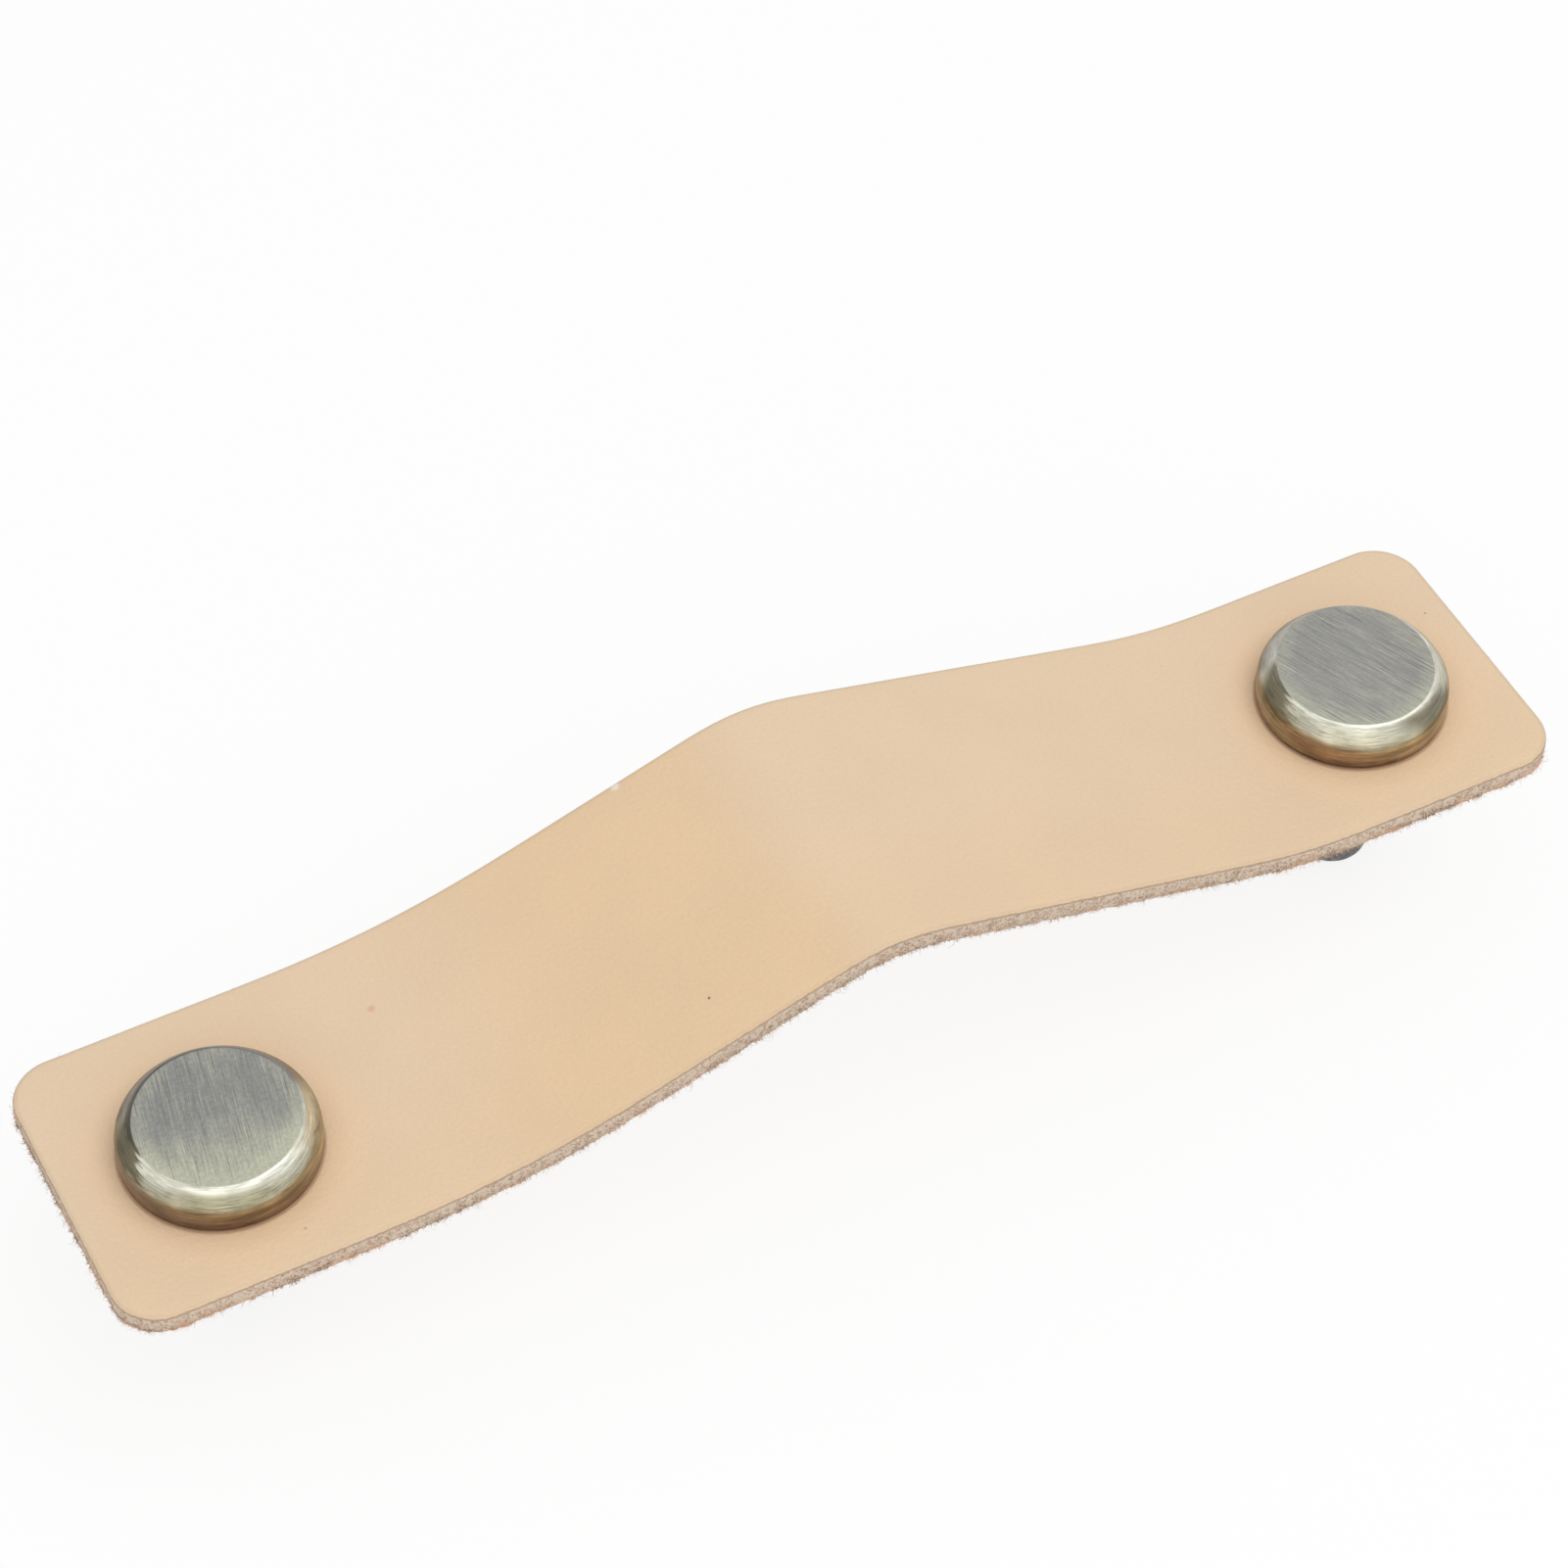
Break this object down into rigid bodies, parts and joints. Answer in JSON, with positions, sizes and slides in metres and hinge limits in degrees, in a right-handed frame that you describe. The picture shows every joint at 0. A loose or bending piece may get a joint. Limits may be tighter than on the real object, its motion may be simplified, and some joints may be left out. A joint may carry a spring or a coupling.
{
  "type": "faux leather strap pull",
  "caption": "Bowed faux leather strap with rounded corners, held at its flat ends by chamfered antique brass buttons with screws from behind; fingers go under the bow.",
  "frame": {"origin": "midway between the hole centres, in the plane of the door's or drawer front's face, which the strap's flat ends lie on", "axes": "+X along the strap from the left button to the right one, +Y across the strap, +Z out of the door"},
  "size_m": [0.1602, 0.0334, 0.0357],
  "materials": {
    "strap_leather": "smooth tan grain face with fine pebble, raw fibrous beige edges and underside",
    "button_brass": "brushed antique brass, satin",
    "screw_steel": "dark zinc plated, satin"
  },
  "bodies": {
    "root": {"strap": "strap_leather", "left_button": "button_brass", "right_button": "button_brass", "left_screw": "screw_steel", "right_screw": "screw_steel"}
  },
  "joints": []
}
